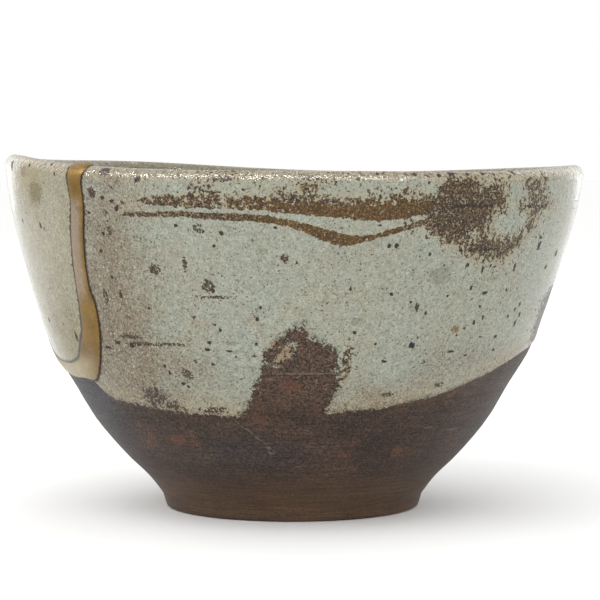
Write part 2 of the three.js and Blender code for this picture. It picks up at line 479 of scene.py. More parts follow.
def gold_seam(hand, gold):
    course = joint_course()
    crest = LIP_BASE + LIP_RADIUS * math.pi / 2
    height = thrown_height(np.degrees(course[:, 0] / JOINT_RADIUS), course[:, 1])
    # The stations past the lip's crest close the band over it.
    course = course[height < crest + PAST_CREST]
    bowl_side, sherd_side = joint_rails(course)
    rails = {}
    for key, line, inner in zip(GOLD_RAILS, (bowl_side, sherd_side, sherd_side, bowl_side), (0, 0, 1, 1)):
        rails[key], _ = wall_points(line, inner)
    for key, inner in (("outer_facing", 0), ("inner_facing", 1)):
        _, rails[key] = wall_points(course[:, :2], inner)
    source = line_mesh("gold_rails", course * MM, rails)
    values = {"Across": 15, "Crown": 0.32 * MM, "Ripple": 0.25 * MM, "Gold": gold, **HAND}
    return run_tree("gold_lacquer_seam", source, laid_gold_tree(hand), values)


CUT_RADII = (25, 40, 46, 52, 58, 64, 70, 76, 120)


def radial_cutter(name, outline):
    """A closed solid that an outline on the unrolled wall sweeps out from the axis."""
    flat = [Vector((x, y, 0)) for x, y in outline]
    caps = tessellate_polygon([flat])
    bearing, count, rings = outline[:, 0] / JOINT_RADIUS, len(outline), len(CUT_RADII)
    points = [
        (r * math.sin(b) * MM, -r * math.cos(b) * MM, h * MM)
        for r in CUT_RADII for b, h in zip(bearing, outline[:, 1])
    ]
    far = (rings - 1) * count
    faces = [tuple(cap) for cap in caps] + [tuple(i + far for i in reversed(cap)) for cap in caps]
    for ring in range(rings - 1):
        base = ring * count
        for i in range(count):
            j = (i + 1) % count
            faces.append((base + i, base + j, base + j + count, base + i + count))
    mesh = bpy.data.meshes.new(name)
    mesh.from_pydata(points, [], faces)
    cutter = bpy.data.objects.new(name, mesh)
    bpy.context.scene.collection.objects.link(cutter)
    outward(mesh)
    return cutter


def outward(mesh):
    """Turns a closed mesh's faces outwards."""
    work = bmesh.new()
    work.from_mesh(mesh)
    bmesh.ops.recalc_face_normals(work, faces=work.faces)
    work.to_mesh(mesh)
    work.free()


def cut_piece(name, bowl, outline, operation):
    """A copy of the whole bowl, less the outline's cut or kept within it."""
    cutter = radial_cutter(name + "_cut", outline)
    piece = bpy.data.objects.new(name, bowl.data.copy())
    bpy.context.scene.collection.objects.link(piece)
    modifier = piece.modifiers.new("cut", "BOOLEAN")
    modifier.object, modifier.operation, modifier.solver = cutter, operation, "EXACT"
    evaluated = piece.evaluated_get(bpy.context.evaluated_depsgraph_get())
    cut = bpy.data.meshes.new_from_object(evaluated)
    piece.modifiers.clear()
    old = piece.data
    piece.data = cut
    bpy.data.meshes.remove(old)
    bpy.data.objects.remove(cutter)
    cut.set_sharp_from_angle(angle=math.radians(50))
    return piece


# ---- What the kiln and the brush left, as fields on the pieces ----

# Where the glaze ends round the foot, as (bearing, height); the wall below is bare clay.
GLAZE_LINE = [
    (-180, 28.5), (-150, 27.5), (-120, 29.0), (-95, 33.0), (-75, 33.4), (-62, 32.8), (-57, 32.0),
    (-54.5, 29.4), (-51, 27.9), (-43, 27.3), (-33, 26.6), (-23, 26.0), (-13, 25.6), (-8, 26.2), (0, 26.6),
    (9, 26.6), (13, 27.0), (22, 27.3), (33, 29.0), (39, 29.9), (45, 31.6), (51, 33.2), (56, 34.6),
    (60, 35.8), (66, 37.4), (73, 38.5), (83, 39.4), (92, 39.0), (108, 36.8), (130, 33.4), (155, 30.4),
    (180, 28.5),
]
# A tongue of bare clay that the glaze drew back from, above the line at the front.
TONGUE = [
    (-13.0, 24.5), (-10.6, 28.3), (-9.2, 30.2), (-8.1, 33.3), (-6.6, 35.6), (-5.6, 37.8), (-5.0, 41.2),
    (-2.2, 43.6), (0.7, 45.8), (2.4, 46.6), (2.4, 44.6), (4.2, 43.6), (6.3, 42.5), (9.0, 41.1), (9.8, 38.5),
    (9.4, 36.4), (10.8, 34.4), (10.2, 31.7), (9.1, 29.4), (8.2, 27.2), (8.8, 24.5),
]
# The fleck of glaze that stayed on it.
TONGUE_GLAZE = [(-3.9, 39.8), (-0.4, 43.2), (1.3, 42.4), (0.1, 40.4), (-2.2, 38.0), (-3.4, 37.4)]

# The upper brush stroke, as (bearing, height of its lower edge, thickness of the solid iron, thickness
# with the speckle above it, body).
UPPER_STROKE = [
    (-33.0, 72.8, 0.1, 0.2, 0.3), (-28.5, 72.4, 0.8, 1.5, 0.64), (-24.0, 71.8, 1.8, 3.0, 0.68),
    (-19.0, 71.4, 2.6, 4.0, 0.68), (-14.0, 71.3, 2.3, 4.2, 0.7), (-9.0, 71.1, 2.0, 4.0, 0.76),
    (-5.5, 70.9, 2.0, 4.3, 0.82), (0.0, 70.3, 2.3, 5.2, 0.92), (5.0, 69.9, 2.7, 6.0, 0.98),
    (10.5, 69.1, 3.0, 6.6, 1.0), (15.0, 68.7, 3.5, 7.6, 1.0), (20.0, 69.0, 3.4, 7.4, 1.0),
    (25.0, 70.0, 2.6, 6.4, 0.98), (30.0, 71.0, 1.6, 4.6, 0.92), (33.0, 72.0, 0.2, 0.4, 0.5),
]
# The lower stroke, as (bearing, height of its middle, half its width, body).
LOWER_STROKE = [
    (-34.0, 69.9, 0.02, 0.4), (-32.0, 70.0, 0.42, 0.78), (-25.6, 70.1, 0.5, 0.84), (-19.6, 70.2, 0.52, 0.9),
    (-15.8, 69.8, 0.56, 0.92), (-11.0, 69.6, 0.64, 0.95), (-6.6, 69.4, 0.68, 0.97), (-3.5, 69.0, 0.7, 0.97),
    (-0.6, 68.4, 0.72, 0.94), (2.1, 67.4, 0.85, 0.94), (5.2, 66.2, 1.15, 0.9), (8.0, 65.1, 1.3, 0.88),
    (10.9, 64.6, 0.95, 0.88), (13.9, 65.1, 0.5, 0.9), (17.5, 66.0, 0.48, 0.9), (21.3, 67.3, 0.52, 0.9),
    (25.2, 68.6, 0.6, 0.88), (29.0, 70.0, 0.4, 0.6), (31.0, 70.5, 0.02, 0.4),
]
# Where the brush was set down: iron pooled and ran.
IRON_POOL = [
    (27.3, 76.5), (28.7, 77.9), (35.8, 78.0), (36.4, 75.8), (37.8, 76.4), (38.7, 77.4), (42.6, 77.0),
    (43.6, 73.3), (44.3, 70.5), (40.3, 69.9), (39.7, 68.2), (41.0, 66.0), (43.8, 64.9), (47.2, 65.4),
    (49.7, 66.5), (51.0, 64.9), (50.1, 62.3), (47.4, 60.4), (44.1, 59.2), (39.0, 59.4), (34.7, 60.8),
    (31.5, 63.0), (28.6, 64.6), (26.0, 65.6), (24.4, 67.4), (24.6, 69.6), (26.6, 70.6), (26.6, 73.1),
]
IRON_FAINT = [
    (47.3, 77.6), (50.1, 78.0), (55.6, 77.8), (56.4, 74.5), (59.8, 72.0), (59.3, 70.3), (54.8, 69.5),
    (54.3, 67.0), (52.7, 64.7), (50.1, 64.3), (50.0, 67.1), (50.2, 69.3), (46.2, 70.5), (45.8, 72.4),
    (49.3, 73.5), (48.2, 75.5),
]
# Thin scattered iron round the strokes, as (size, bearing, height, reach round, reach up).
IRON_HAZE = [
    (0.55, -16.0, 76.0, 4.0, 0.9), (0.5, -10.0, 74.8, 3.2, 0.7), (0.36, -33.0, 71.6, 5.0, 1.2),
    (0.34, -34.0, 73.6, 2.4, 0.8), (0.42, -3.0, 75.4, 4.5, 1.2), (0.34, 8.0, 75.0, 5.5, 1.0),
    (0.42, 16.0, 74.6, 6.0, 1.4), (0.45, 24.0, 74.0, 4.0, 2.2), (0.4, 30.0, 66.5, 5.0, 2.0),
    (0.38, 52.0, 65.5, 4.0, 3.0), (0.36, 46.0, 58.8, 4.0, 2.6), (0.74, 11.8, 38.0, 1.6, 4.6),
    (0.72, 3.0, 76.0, 3.4, 1.6), (0.7, 0.2, 73.9, 3.4, 1.5), (0.5, 8.5, 72.8, 6.0, 1.2),
    (0.5, 22.0, 67.8, 2.6, 1.8), (0.3, -25.0, 26.8, 24.0, 1.2),
]
# The plainer brushwork round the back has one pool.
BACK_POOL = [
    (148.0, 74.0), (154.0, 76.5), (163.0, 75.0), (167.0, 70.5), (164.0, 64.0), (158.0, 60.5), (151.0, 62.0),
    (147.0, 68.0),
]
# Each pool as (its outline, iron at the edge, depth over which it thickens, most iron).
POOLS = [(IRON_POOL, 0.44, 5.0, 0.95), (IRON_FAINT, 0.36, 6.0, 0.64), (BACK_POOL, 0.4, 8.0, 0.76)]

# Soft round changes to a field, as (size, bearing, height, reach round, reach up).
IRON_CHANGES = [
    (0.14, 32.0, 72.0, 6.0, 8.0), (-0.16, 39.5, 74.5, 2.2, 4.0), (-0.45, 35.8, 65.6, 3.2, 2.2),
    (-0.16, 41.0, 62.0, 8.0, 3.2),
]
RIM_RUST = [
    (0.46, -12.0, 79.0, 9.0, 2.2), (0.55, 4.5, 76.6, 3.5, 1.8), (0.4, 30.0, 79.5, 22.0, 1.6),
    (0.36, -29.0, 78.0, 3.0, 1.5),
]
BLUSH_BY_JOINT = [(1.0, -38.0, 60.0, 9.0, 30.0), (0.5, -34.0, 37.0, 14.0, 10.0)]
BLUSH = [
    (0.3, 150.0, 50.0, 30.0, 20.0), (1.0, -66.0, 77.0, 13.0, 8.0), (1.1, -58.0, 40.0, 16.0, 13.0),
    (0.5, 19.0, 30.0, 8.0, 3.6), (0.4, 32.0, 36.5, 6.0, 4.5), (0.3, -20.5, 36.6, 6.0, 3.0),
    (0.4, 44.0, 38.0, 8.0, 4.0),
]
PITTED = [
    (0.5, -38.0, 66.0, 8.0, 16.0), (0.4, 62.0, 60.0, 20.0, 22.0), (0.3, 0.0, 77.0, 60.0, 3.5),
    (0.2, -30.0, 36.0, 20.0, 10.0),
]
# Painted sheen: grey-blue mounds where the bare clay turns away at the left and right sides stand in for
# the light that its satin surface catches there; the mound at the front is a cooler clay tone.
CLAY_SHEEN_AND_COOL_TONE = [
    (1.0, -65.0, 29.0, 15.0, 8.0), (0.35, -66.0, 18.0, 16.0, 10.0), (0.4, 70.0, 26.0, 20.0, 14.0),
    (0.35, -14.0, 17.0, 20.0, 5.0),
]
CRUMBLY = [(1.0, 1.0, 37.0, 14.0, 11.0), (0.6, -28.0, 27.0, 22.0, 7.0)]

TONGUE_RADIUS, POOL_RADIUS = 57.0, 66.0  # the wall's radius where each is unrolled
FLOOR_HEIGHT = 11.0  # the bowl's inside begins above this
WELL_AWAY, OFF_THE_STROKE = 30.0, 100.0  # stand in for distances on the inside face


def read_table(rows, column, at):
    """One column of a table read at any bearing."""
    rows = np.asarray(rows, float)
    return np.interp(at, rows[:, 0], rows[:, column])


def edge_distance(points, p, q):
    """Distance of points from the straight line between p and q."""
    edge, reach = q - p, points - p
    share = np.clip(reach @ edge / (edge @ edge), 0, 1)
    return np.linalg.norm(reach - share[:, None] * edge, axis=1)


def signed_distance(points, outline):
    """Distance of points from a closed outline, positive inside it."""
    outline = np.asarray(outline, float)
    nearest = np.full(len(points), np.inf)
    inside = np.zeros(len(points), bool)
    for p, q in zip(outline, np.roll(outline, -1, axis=0)):
        nearest = np.minimum(nearest, edge_distance(points, p, q))
        if p[1] != q[1]:
            crosses = (p[1] > points[:, 1]) != (q[1] > points[:, 1])
            at = (q[0] - p[0]) * (points[:, 1] - p[1]) / (q[1] - p[1]) + p[0]
            inside ^= crosses & (points[:, 0] < at)
    return np.where(inside, nearest, -nearest)


def unroll(bearing, height, radius):
    """Points on the wall, laid flat as (distance round it at a radius, height)."""
    return np.column_stack([np.radians(bearing) * radius, height])


def smooth(value, low, high):
    """A smooth step from 0 at `low` to 1 at `high`."""
    share = np.clip((value - low) / (high - low), 0, 1)
    return share * share * (3 - 2 * share)


def mounds(bearing, height, rows):
    """Soft round rises, one by one, each as high as its row's size."""
    for size, middle, level, wide, tall in rows:
        turn = (bearing - middle + 180) % 360 - 180
        yield size * np.exp(-((turn / wide) ** 2) - ((height - level) / tall) ** 2)


def places(piece):
    flat = np.empty(len(piece.data.vertices) * 3, np.float32)
    piece.data.vertices.foreach_get("co", flat)
    return flat.reshape(-1, 3).astype(float) / MM


NEAR_JOINT = 4.0  # distances from the joint are taken up to here
RAIL_PART = 12  # steps of a rail that are tested together


def joint_distance(place, bearing):
    """Distance from the mended joint's nearer edge on the unrolled wall."""
    unrolled = unroll(bearing, place[:, 2], JOINT_RADIUS)
    distance = np.full(len(place), NEAR_JOINT)
    for rail in joint_rails(joint_course()):
        for start in range(0, len(rail) - 1, RAIL_PART):
            part = rail[start:start + RAIL_PART + 1]
            low, high = part.min(axis=0) - NEAR_JOINT, part.max(axis=0) + NEAR_JOINT
            near = np.nonzero(np.all((unrolled > low) & (unrolled < high), axis=1))[0]
            for p, q in zip(part, part[1:]):
                distance[near] = np.minimum(distance[near], edge_distance(unrolled[near], p, q))
    return distance


def glaze_reach(bearing, height, within):
    """How far points lie inside the glaze, above its line, and inside the bare tongue, in millimetres."""
    flat = unroll(bearing, height, TONGUE_RADIUS)
    shapes = [unroll(*np.transpose(outline), TONGUE_RADIUS) for outline in (TONGUE, TONGUE_GLAZE)]
    tongue, patch = (signed_distance(flat, shape) for shape in shapes)
    tongue = np.minimum(tongue, -patch)
    above = (height - read_table(GLAZE_LINE, 1, bearing)) * 1.15
    glazed = np.where(within, WELL_AWAY, np.minimum(above, -tongue))
    return glazed, np.where(within, WELL_AWAY, above), np.where(within, -WELL_AWAY, tongue)


def iron_amount(bearing, height, within):
    """How much iron lies in the pools, the haze and the rusty rim, 0 to 1."""
    flat = unroll(bearing, height, POOL_RADIUS)
    iron = np.zeros(len(flat))
    for outline, edge, depth, most in POOLS:
        pool = signed_distance(flat, unroll(*np.transpose(outline), POOL_RADIUS))
        iron = np.maximum(iron, np.clip(edge + pool / depth, 0, most))
    iron += sum(mounds(bearing, height, IRON_CHANGES))
    for haze in mounds(bearing, height, IRON_HAZE):
        iron = np.maximum(iron, haze)
    iron = np.maximum(iron, sum(mounds(bearing, height, RIM_RUST)))
    return np.where(within, 0, np.clip(iron, 0, 1))


def stroke_fields(stroke, bearing, height, within):
    """How far points lie above a brush stroke's line, with the next two columns of its table, as a vector,
    and the columns left over."""
    middle, *others = (read_table(stroke, k, bearing) for k in range(1, len(stroke[0])))
    away = height - middle + np.where(within, OFF_THE_STROKE, 0.0)
    return np.column_stack([away, others[0], others[1]]), others[2:]


def paint_fields(piece):
    """Writes the fields that the glaze, clay and iron are mixed by, and sinks the bare clay a little."""
    place = places(piece)
    radius = np.hypot(place[:, 0], place[:, 1])
    bearing = np.degrees(np.arctan2(place[:, 0], -place[:, 1]))
    height = place[:, 2]
    thrown = thrown_height(bearing, height)
    outer = np.interp(thrown, OUTER_CURVE[:, 1], OUTER_CURVE[:, 0])
    inner = np.interp(thrown, INNER_CURVE[::-1, 1], INNER_CURVE[::-1, 0])
    within = (radius < (outer + inner) / 2) & (thrown > FLOOR_HEIGHT)

    glazed, above, tongue = glaze_reach(bearing, height, within)
    upper, upper_body = stroke_fields(UPPER_STROKE, bearing, height, within)
    lower, _ = stroke_fields(LOWER_STROKE, bearing, height, within)
    blush = np.minimum(sum(mounds(bearing, height, BLUSH_BY_JOINT)), 1)
    blush += sum(mounds(bearing, height, BLUSH))
    put_fields(piece.data, {
        "wall": np.column_stack([np.radians(bearing) * JOINT_RADIUS, radius, height]),
        "glazed": glazed,
        "above_line": above,
        "tongue": tongue,
        "iron": iron_amount(bearing, height, within),
        "upper_stroke": upper,
        "upper_body": upper_body[0],
        "lower_stroke": lower,
        "blush": np.where(within, 0, blush),
        "pitted": np.where(within, 0.4, 0.42 + sum(mounds(bearing, height, PITTED))),
        "clay_sheen_and_cool_tone": sum(mounds(bearing, height, CLAY_SHEEN_AND_COOL_TONE)),
        "crumbly": 0.5 + sum(mounds(bearing, height, CRUMBLY)),
        "joint": joint_distance(place, bearing),
        "below_lip": LIP_HEIGHT - thrown,
        "inside": within,
    })

    # The glaze ends in a low bead, and the bare clay lies a little below it.
    normals = np.empty(len(place) * 3, np.float32)
    piece.data.vertex_normals.foreach_get("vector", normals)
    bead = 0.14 * smooth(glazed, -0.4, 0.9) * smooth(-glazed, -4.0, -0.9)
    raised = bead - 0.2 * (1 - smooth(glazed, -0.6, 0.5))
    raised *= ~within & (height > 0.9)
    moved = place + normals.reshape(-1, 3) * raised[:, None]
    piece.data.vertices.foreach_set("co", (moved * MM).astype(np.float32).ravel())
    piece.data.update()


# ---- Finishes ----


def tint(red, green, blue):
    """A colour given from 0 to 255 a channel, as the shaders need it."""
    return tuple(((c / 255 + 0.055) / 1.055) ** 2.4 for c in (red, green, blue)) + (1.0,)


class Finish(Tree):
    """A material's tree, with the object's own place in millimetres."""

    def __init__(self, name):
        self.material = bpy.data.materials.new(name)
        self.material.use_nodes = True
        super().__init__(self.material.node_tree)
        self.shader = self.tree.nodes["Principled BSDF"]
        self.place = self.scaled(self.out("ShaderNodeTexCoord", pick=3), 1 / MM)

    def field(self, name, pick="Fac"):
        return self.node("ShaderNodeAttribute", attribute_name=name).outputs[pick]

    def blend(self, factor, a, b):
        return self.out("ShaderNodeMix", factor, a, b, data_type="RGBA")

    def shade(self, colour, amount):
        """The colour made lighter or darker by a number round 1."""
        if isinstance(colour, tuple):
            colour = colour[:3]
        return self.out("ShaderNodeVectorMath", colour, Scale=amount, operation="SCALE")

    def spread(self, vector, scale, detail=2.0, roughness=0.5, gain=4.0):
        """Noise drawn out to fill 0 to 1 fairly evenly."""
        noise = self.noise(vector, scale, detail, roughness)
        return self.math("MULTIPLY_ADD", self.less(noise, 0.5), gain, 0.5, clamp=True)

    def varied(self, noise, amount):
        """Noise as a number round 1."""
        return self.linear(self.less(noise, 0.5), amount, 1.0)

    def around(self, vector, scale, amount):
        return self.varied(self.noise(vector, scale), amount)

    def dots(self, vector, cell, radius, share):
        """Scattered round dots of up to `radius`: one in `share` of the cells, which are `cell` wide."""
        scattered = self.node("ShaderNodeTexVoronoi", vector, Scale=1 / cell).outputs
        pick, size, _ = self.apart(scattered["Color"])
        reach = self.times(self.linear(size, 0.75, 0.25), radius / cell)
        near = self.less(1.0, self.math("DIVIDE", scattered["Distance"], reach))
        return self.times(self.ramp(near, 0.0, 0.6), self.math("LESS_THAN", pick, share))

    def broken(self, ring, crumbs, width):
        """A soft-edged patch, 1 in its middle, broken up into specks where it thins out."""
        return self.ramp(self.less(ring, crumbs), -width / 2, width)

    def nearest_mark(self, marks):
        """How far the nearest mark is, 1 at its edge; marks are (bearing, height, width, height of it)."""
        wall, nearest = self.field("wall", "Vector"), None
        for bearing, height, wide, tall in marks:
            radius = float(np.interp(height, OUTER_CURVE[:, 1], OUTER_CURVE[:, 0]))
            scale = (2 * radius / JOINT_RADIUS / wide, 0.0, 2 / tall)
            centre = (math.radians(bearing) * JOINT_RADIUS, 0.0, height)
            back = tuple(-c * s for c, s in zip(centre, scale))
            away = self.out("ShaderNodeVectorMath", wall, scale, back, operation="MULTIPLY_ADD")
            away = self.out("ShaderNodeVectorMath", away, operation="LENGTH")
            nearest = away if nearest is None else self.math("MINIMUM", nearest, away)
        return nearest

    def scratch(self, start, end, width):
        """A thin broken line between two places given as (bearing, height)."""
        first, last = (Vector((math.radians(b) * JOINT_RADIUS, 0, h)) for b, h in (start, end))
        run = last - first
        aside = run.cross(Vector((0, 1, 0))).normalized()
        reach = self.moved(self.field("wall", "Vector"), tuple(-first))
        along = tuple(run / run.length_squared)
        share = self.out("ShaderNodeVectorMath", reach, along, operation="DOT_PRODUCT")
        away = self.out("ShaderNodeVectorMath", reach, tuple(aside), operation="DOT_PRODUCT")
        wander = self.centred(self.noise(self.place, 0.5, 2.0), 1.2)
        line = self.ramp(self.math("ABSOLUTE", self.add(away, wander)), width, width / 4)
        ends = self.times(self.ramp(share, 0.0, 0.08), self.ramp(share, 1.0, 0.92))
        return self.times(line, ends, self.ramp(self.noise(self.place, 1.1, 1.0), 0.42, 0.55))

    def close(self, colour, roughness, relief, **constants):
        """Joins colour, roughness and a relief in millimetres to the shader and sets its constants."""
        self.feed(self.shader.inputs["Base Color"], colour)
        self.feed(self.shader.inputs["Roughness"], roughness)
        bump = self.out("ShaderNodeBump", Strength=1.0, Distance=MM, Height=relief)
        self.feed(self.shader.inputs["Normal"], bump)
        for name, value in constants.items():
            self.shader.inputs[name.replace("_", " ")].default_value = value
        return self.material


# The marks on the glaze and the clay, as (bearing, height, width, height of the mark).
IRON_SPOTS = [
    (-17.3, 67.2, 2.6, 2.3), (-16.2, 54.9, 3.4, 3.0), (-27.3, 58.1, 3.2, 2.8), (-36.6, 66.5, 1.7, 2.1),
    (-20.7, 59.5, 1.2, 3.1), (-15.0, 52.5, 10.0, 0.8), (-23.9, 35.4, 2.7, 2.4), (-21.2, 38.3, 0.9, 1.1),
    (26.0, 50.2, 1.2, 2.0), (23.1, 30.7, 3.2, 1.3), (-8.1, 39.7, 1.1, 0.9), (-37.0, 70.3, 1.6, 1.1),
    (-12.3, 77.6, 5.6, 1.6), (-17.5, 75.7, 3.6, 1.0), (-14.0, 74.8, 3.8, 0.9), (30.1, 37.7, 1.2, 0.9),
    (37.0, 32.3, 3.1, 1.1), (-37.0, 43.2, 9.0, 1.0), (-33.0, 41.7, 12.0, 0.9), (-26.6, 41.9, 8.0, 0.8),
    (-41.2, 52.0, 1.6, 4.0),
]
WINE_SPOTS = [
    (-36.6, 79.0, 3.1, 2.4), (-1.3, 60.9, 1.7, 1.6), (1.0, 60.0, 0.6, 0.7), (-20.0, 48.1, 0.9, 0.9),
    (-40.0, 74.6, 2.2, 3.0), (-15.5, 53.9, 1.1, 1.1), (-28.7, 77.5, 1.6, 1.8),
]
DARK_DOTS = [
    (-37.4, 73.5, 1.3, 0.9), (-35.2, 72.8, 1.4, 0.9), (-34.3, 71.1, 1.2, 1.5), (-41.3, 70.2, 1.1, 0.9),
    (-38.4, 65.7, 1.0, 0.9), (-39.9, 61.9, 1.0, 0.9), (-21.6, 67.8, 0.9, 0.7), (-12.8, 66.2, 1.1, 1.1),
    (-14.5, 63.5, 0.9, 0.7), (-2.9, 67.4, 0.8, 0.7), (-8.6, 75.3, 0.6, 0.7), (-6.4, 73.8, 0.6, 0.7),
    (-6.1, 50.3, 0.8, 0.8), (-6.9, 47.8, 0.8, 0.8), (-14.7, 45.4, 0.7, 0.7), (-15.8, 46.5, 0.7, 0.6),
    (-17.5, 42.6, 1.3, 0.8), (-18.0, 41.0, 1.3, 0.8), (-13.1, 40.8, 1.6, 0.45), (-24.6, 32.5, 1.0, 0.7),
    (-7.3, 42.5, 0.7, 0.9), (-11.9, 39.5, 0.6, 0.6), (-17.3, 37.8, 0.9, 0.6), (-25.6, 33.1, 1.0, 0.8),
    (-28.3, 35.5, 0.7, 1.1), (-29.1, 37.0, 0.7, 0.9), (-30.3, 49.7, 0.7, 0.7), (-36.8, 52.4, 1.0, 1.6),
    (-38.2, 56.3, 0.8, 0.7), (-28.9, 41.7, 1.0, 0.7), (-34.7, 41.5, 1.3, 0.7), (-36.7, 41.3, 1.3, 1.3),
    (-41.0, 41.7, 1.7, 1.0), (-44.2, 40.4, 2.4, 0.6), (11.5, 54.3, 0.5, 1.1), (19.9, 53.1, 0.8, 0.8),
    (24.3, 51.2, 0.7, 0.7), (13.0, 44.9, 1.1, 0.7), (17.7, 42.2, 0.7, 0.7), (20.4, 38.3, 1.3, 0.6),
    (11.8, 77.5, 1.1, 0.8), (25.1, 76.7, 0.8, 0.9), (15.4, 78.6, 0.8, 0.6), (39.9, 78.5, 0.9, 0.7),
    (19.7, 63.4, 1.1, 1.1), (18.3, 63.4, 0.9, 0.9), (26.9, 61.6, 0.8, 0.8), (36.2, 59.0, 1.0, 0.9),
    (40.3, 57.8, 0.8, 1.8), (42.4, 58.6, 0.9, 0.9), (50.2, 58.0, 0.8, 1.6), (57.5, 62.6, 1.6, 2.0),
    (57.1, 64.5, 1.4, 1.0), (69.2, 60.4, 2.0, 1.8), (64.6, 57.5, 1.5, 1.3), (38.4, 53.9, 0.8, 1.0),
    (42.6, 52.7, 1.9, 0.7), (49.4, 53.1, 0.8, 0.7), (32.7, 52.4, 0.6, 0.6), (42.2, 49.7, 0.7, 0.8),
    (56.8, 49.5, 1.1, 1.3), (55.2, 48.3, 1.1, 0.9), (58.1, 47.0, 1.0, 1.1), (53.0, 46.9, 0.9, 0.9),
    (57.2, 45.1, 1.2, 1.6), (44.0, 47.3, 0.9, 1.1), (41.6, 46.2, 0.9, 1.1), (39.1, 45.0, 0.8, 0.7),
    (50.6, 42.5, 1.2, 0.9), (45.0, 42.7, 1.0, 0.6), (37.0, 39.9, 1.8, 0.6), (41.6, 38.8, 1.1, 0.6),
    (51.3, 39.5, 1.0, 0.7), (28.2, 48.7, 0.9, 0.7), (27.2, 78.2, 1.3, 0.8), (30.0, 78.6, 1.8, 0.7),
    (37.3, 78.7, 1.0, 0.7), (45.3, 78.9, 1.3, 0.9), (22.5, 78.4, 0.9, 0.7), (33.6, 78.4, 0.8, 0.6),
]
GREY_SMUDGES = [
    (6.6, 51.5, 4.4, 0.7), (30.2, 57.0, 5.8, 4.4), (25.3, 49.9, 2.8, 2.0), (-10.1, 56.0, 1.2, 1.2),
    (-9.0, 37.1, 3.0, 0.9), (-42.2, 45.5, 1.6, 3.2), (13.3, 47.5, 3.0, 1.3), (-5.5, 62.3, 2.6, 1.6),
    (44.3, 55.8, 4.6, 1.1), (13.6, 47.8, 1.6, 0.8), (12.6, 46.8, 1.6, 0.8), (-12.6, 42.5, 3.0, 1.0),
    (-11.5, 40.7, 5.0, 0.7), (-14.0, 34.2, 4.6, 0.8),
]
PINK_SMUDGES = [
    (-19.0, 46.8, 5.8, 1.8), (-7.4, 47.6, 2.6, 3.6), (-22.2, 61.8, 1.7, 1.7), (-1.3, 60.9, 2.8, 2.6),
]
# Along the glaze's edge, left of the tongue.
CLAY_CRUMBS = [(-35.0, 29.8, 7.4, 4.6), (-31.0, 28.0, 4.0, 2.2), (-19.0, 27.4, 5.0, 1.6)]
# Where the glaze lies thin over the clay.
THIN_GLAZE = [
    (79.0, 47.5, 21.0, 12.0), (82.0, 42.0, 24.0, 9.0), (86.0, 50.0, 12.0, 7.5), (75.0, 43.5, 9.0, 6.0),
]
# On the tongue's shoulder.
CREAM_CRUMBS = [(-2.2, 40.2, 6.4, 7.4), (2.0, 44.6, 4.4, 2.2)]
# Stains on the upper part of the sherd, and its dots.
SHERD_CREAM = [(-61.0, 77.0, 15.0, 9.0)]
SHERD_STAIN = [(-59.0, 74.2, 8.0, 5.2)]
SHERD_BLUSH = [(-63.5, 79.0, 3.6, 2.8)]
SHERD_DOTS = [
    (-71.0, 80.2, 1.9, 2.4), (-59.0, 67.0, 0.9, 1.5), (-55.7, 42.3, 1.2, 2.2), (-69.6, 45.2, 0.9, 0.9),
    (-50.4, 78.4, 0.7, 0.9), (-54.6, 76.5, 0.5, 0.5), (-69.4, 67.7, 0.9, 1.0), (-60.5, 80.3, 1.0, 0.7),
    (-52.4, 80.6, 0.8, 0.6),
]
RUST_SPOTS = [(36.8, 44.8, 2.4, 1.7)]
INK_SPOT = [(26.2, 41.8, 1.6, 1.5)]
BRUSH_LINES = [(35.1, 71.7, 16.9, 0.8), (52.2, 71.5, 13.0, 0.9), (39.5, 62.2, 17.4, 0.7)]
CLAY_RED = [
    (32.2, 17.2, 3.8, 2.9), (-33.7, 19.6, 6.4, 3.0), (-28.5, 18.7, 3.6, 2.0), (-0.1, 32.9, 6.0, 3.6),
]
CLAY_PALE = [
    (-5.9, 17.2, 2.0, 0.8), (2.8, 13.9, 2.8, 0.4), (0.4, 6.5, 0.6, 0.6), (-39.7, 3.2, 0.8, 0.6),
    (51.6, 20.9, 8.1, 0.4), (40.1, 22.1, 3.8, 0.4), (5.6, 34.1, 0.9, 1.2), (-4.8, 34.5, 1.3, 0.9),
    (3.4, 35.8, 17.0, 0.5), (-8.3, 35.3, 3.4, 0.5), (-9.6, 21.0, 0.8, 0.6), (-6.4, 18.4, 1.4, 0.6),
]

# Each kind of mark: its places, its colour, how strong it is, and how solid (above 1) or crumbled (below).
MARKS = {
    "glazed stoneware": [
        (THIN_GLAZE, tint(80, 71, 62), 0.8, 0.98),
        (PINK_SMUDGES, tint(140, 124, 106), 0.45, 0.8),
        (CLAY_CRUMBS, tint(50, 38, 34), 0.92, 0.74),
        (CREAM_CRUMBS, tint(150, 129, 102), 0.85, 0.95),
        (GREY_SMUDGES, tint(98, 98, 80), 0.45, 0.9),
        (IRON_SPOTS, tint(52, 38, 22), 0.92, 0.76),
        (WINE_SPOTS, tint(54, 30, 26), 0.92, 1.0),
        (DARK_DOTS, tint(30, 22, 14), 0.94, 1.15),
        (RUST_SPOTS, tint(106, 72, 26), 0.9, 0.85),
        (INK_SPOT, tint(16, 18, 32), 0.95, 1.3),
        (BRUSH_LINES, tint(32, 22, 14), 0.85, 0.8),
    ],
    "sherd glaze": [
        (SHERD_CREAM, tint(146, 134, 98), 0.55, 1.2),
        (SHERD_STAIN, tint(98, 88, 56), 0.7, 0.95),
        (SHERD_BLUSH, tint(122, 88, 74), 0.6, 0.9),
        (SHERD_DOTS, tint(30, 22, 14), 0.95, 1.3),
    ],
    "bare clay": [
        (CLAY_RED, tint(98, 60, 44), 0.6, 0.85),
        (CLAY_PALE, tint(120, 104, 90), 0.6, 0.95),
    ],
}


